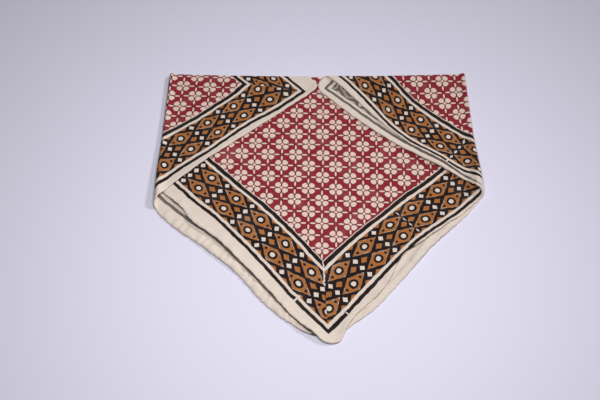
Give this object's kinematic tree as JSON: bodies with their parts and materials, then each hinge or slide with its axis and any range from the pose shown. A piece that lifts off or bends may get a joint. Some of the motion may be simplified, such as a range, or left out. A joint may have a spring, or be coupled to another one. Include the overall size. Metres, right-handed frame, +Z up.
{
  "type": "folded printed cloth",
  "caption": "Block-printed cotton square folded corner to corner with both side corners turned in over the front, lying flat as a pentagon with its point forward.",
  "frame": {"origin": "centre of the folded cloth's bounding box, on the surface it lies on", "axes": "+X right along the top fold, +Y across the cloth towards the top fold, +Z up"},
  "size_m": [0.3988, 0.3888, 0.0136],
  "materials": {
    "cloth": "matt plain-weave cotton, hand block-printed"
  },
  "bodies": {
    "root": {"cloth": "cloth"}
  },
  "joints": []
}
